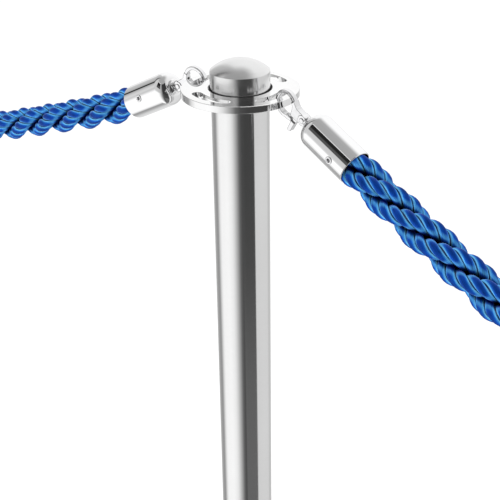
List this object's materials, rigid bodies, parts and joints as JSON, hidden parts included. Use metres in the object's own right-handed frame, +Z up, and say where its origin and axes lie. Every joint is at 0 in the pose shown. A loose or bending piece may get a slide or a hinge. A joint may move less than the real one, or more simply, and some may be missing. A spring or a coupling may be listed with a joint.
{
  "type": "rope barrier stanchion",
  "caption": "Floor-standing barrier post with a weighted dome base, a slotted ring under a domed cap, and barrier ropes held by swivelling snap hooks.",
  "frame": {"origin": "centre of the underside of the base, on the floor, without the ropes and what is on them", "axes": "+Z up along the post; +X towards the side of the right-hand rope; -Y towards the viewer"},
  "size_m": [0.6422, 0.6052, 0.985],
  "materials": {
    "polished_steel": "mirror polished stainless steel",
    "brushed_steel": "satin brushed stainless steel",
    "zinc_chrome": "chrome plated die casting",
    "blue_rope": "royal blue laid rope with a satin sheen",
    "black_rubber": "matt black rubber",
    "cast_iron": "rough grey casting",
    "plain_steel": "zinc plated steel"
  },
  "bodies": {
    "stanchion": {"base_floor_pad": "black_rubber", "base_weight": "cast_iron", "base_cover": "polished_steel", "base_collar": "polished_steel", "base_washer": "plain_steel", "base_bolt": "plain_steel", "tube_bottom_plug": "plain_steel", "post_tube": "brushed_steel", "tube_top_plug": "plain_steel", "ring_plate": "polished_steel", "cap_gasket": "black_rubber", "cap": "brushed_steel", "cap_stud": "plain_steel"},
    "right_hook_body": {"right_hook": "zinc_chrome", "right_gate_rivet": "zinc_chrome", "right_gate_spring": "plain_steel", "right_swivel_retainer": "plain_steel"},
    "right_gate_body": {"right_gate": "zinc_chrome"},
    "right_rope_line": {"right_swivel_collar": "zinc_chrome", "right_ferrule": "zinc_chrome", "right_ferrule_screw": "plain_steel", "right_rope": "blue_rope", "right_far_swivel_collar": "zinc_chrome", "right_far_ferrule": "zinc_chrome", "right_far_ferrule_screw": "plain_steel"},
    "right_far_hook_body": {"right_far_hook": "zinc_chrome", "right_far_gate_rivet": "zinc_chrome", "right_far_gate_spring": "plain_steel", "right_far_swivel_retainer": "plain_steel"},
    "right_far_gate_body": {"right_far_gate": "zinc_chrome"},
    "left_hook_body": {"left_hook": "zinc_chrome", "left_gate_rivet": "zinc_chrome", "left_gate_spring": "plain_steel", "left_swivel_retainer": "plain_steel"},
    "left_gate_body": {"left_gate": "zinc_chrome"},
    "left_rope_line": {"left_swivel_collar": "zinc_chrome", "left_ferrule": "zinc_chrome", "left_ferrule_screw": "plain_steel", "left_rope": "blue_rope", "left_far_swivel_collar": "zinc_chrome", "left_far_ferrule": "zinc_chrome", "left_far_ferrule_screw": "plain_steel"},
    "left_far_hook_body": {"left_far_hook": "zinc_chrome", "left_far_gate_rivet": "zinc_chrome", "left_far_gate_spring": "plain_steel", "left_far_swivel_retainer": "plain_steel"},
    "left_far_gate_body": {"left_far_gate": "zinc_chrome"}
  },
  "joints": [
    {"name": "right_hook_swing", "type": "hinge", "parent": "stanchion", "child": "right_hook_body", "pos_m": [0.03676, -0.03063, 0.95681], "axis": [-0.7592, -0.6478, -0.063], "range_deg": [-55, 50]},
    {"name": "right_gate_open", "type": "hinge", "parent": "right_hook_body", "child": "right_gate_body", "pos_m": [0.05257, -0.04818, 0.94686], "axis": [0.7592, 0.6478, 0.063], "range_deg": [0, 4], "stiffness_Nm_per_rad": 0.05, "springref_deg": -20.05},
    {"name": "right_rope_swivel", "type": "hinge", "parent": "right_hook_body", "child": "right_rope_line", "pos_m": [0.05711, -0.0533, 0.94471], "axis": [0.6063, -0.6686, -0.4305], "continuous": true},
    {"name": "right_far_hook_swivel", "type": "hinge", "parent": "right_rope_line", "child": "right_far_hook_body", "pos_m": [0.25182, -0.26804, 0.81734], "axis": [-0.6219, 0.686, 0.3778], "continuous": true},
    {"name": "right_far_gate_open", "type": "hinge", "parent": "right_far_hook_body", "child": "right_far_gate_body", "pos_m": [0.25599, -0.27263, 0.81373], "axis": [-0.7409, -0.6717, 0], "range_deg": [0, 25], "stiffness_Nm_per_rad": 0.05, "springref_deg": -20.05},
    {"name": "left_hook_swing", "type": "hinge", "parent": "stanchion", "child": "left_hook_body", "pos_m": [-0.03639, 0.03108, 0.95681], "axis": [0.6062, 0.7898, 0.0935], "range_deg": [-55, 50]},
    {"name": "left_gate_open", "type": "hinge", "parent": "left_hook_body", "child": "left_gate_body", "pos_m": [-0.05441, 0.04603, 0.9473], "axis": [-0.6062, -0.7898, -0.0935], "range_deg": [0, 4], "stiffness_Nm_per_rad": 0.05, "springref_deg": -20.05},
    {"name": "left_rope_swivel", "type": "hinge", "parent": "left_hook_body", "child": "left_rope_line", "pos_m": [-0.05967, 0.05034, 0.94501], "axis": [-0.6829, 0.5771, -0.4478], "continuous": true},
    {"name": "left_far_hook_swivel", "type": "hinge", "parent": "left_rope_line", "child": "left_far_hook_body", "pos_m": [-0.33101, 0.27964, 0.81961], "axis": [0.7311, -0.6179, 0.2892], "continuous": true},
    {"name": "left_far_gate_open", "type": "hinge", "parent": "left_far_hook_body", "child": "left_far_gate_body", "pos_m": [-0.33598, 0.28384, 0.8166], "axis": [0.6455, 0.7638, 0], "range_deg": [0, 25], "stiffness_Nm_per_rad": 0.05, "springref_deg": -20.05}
  ]
}
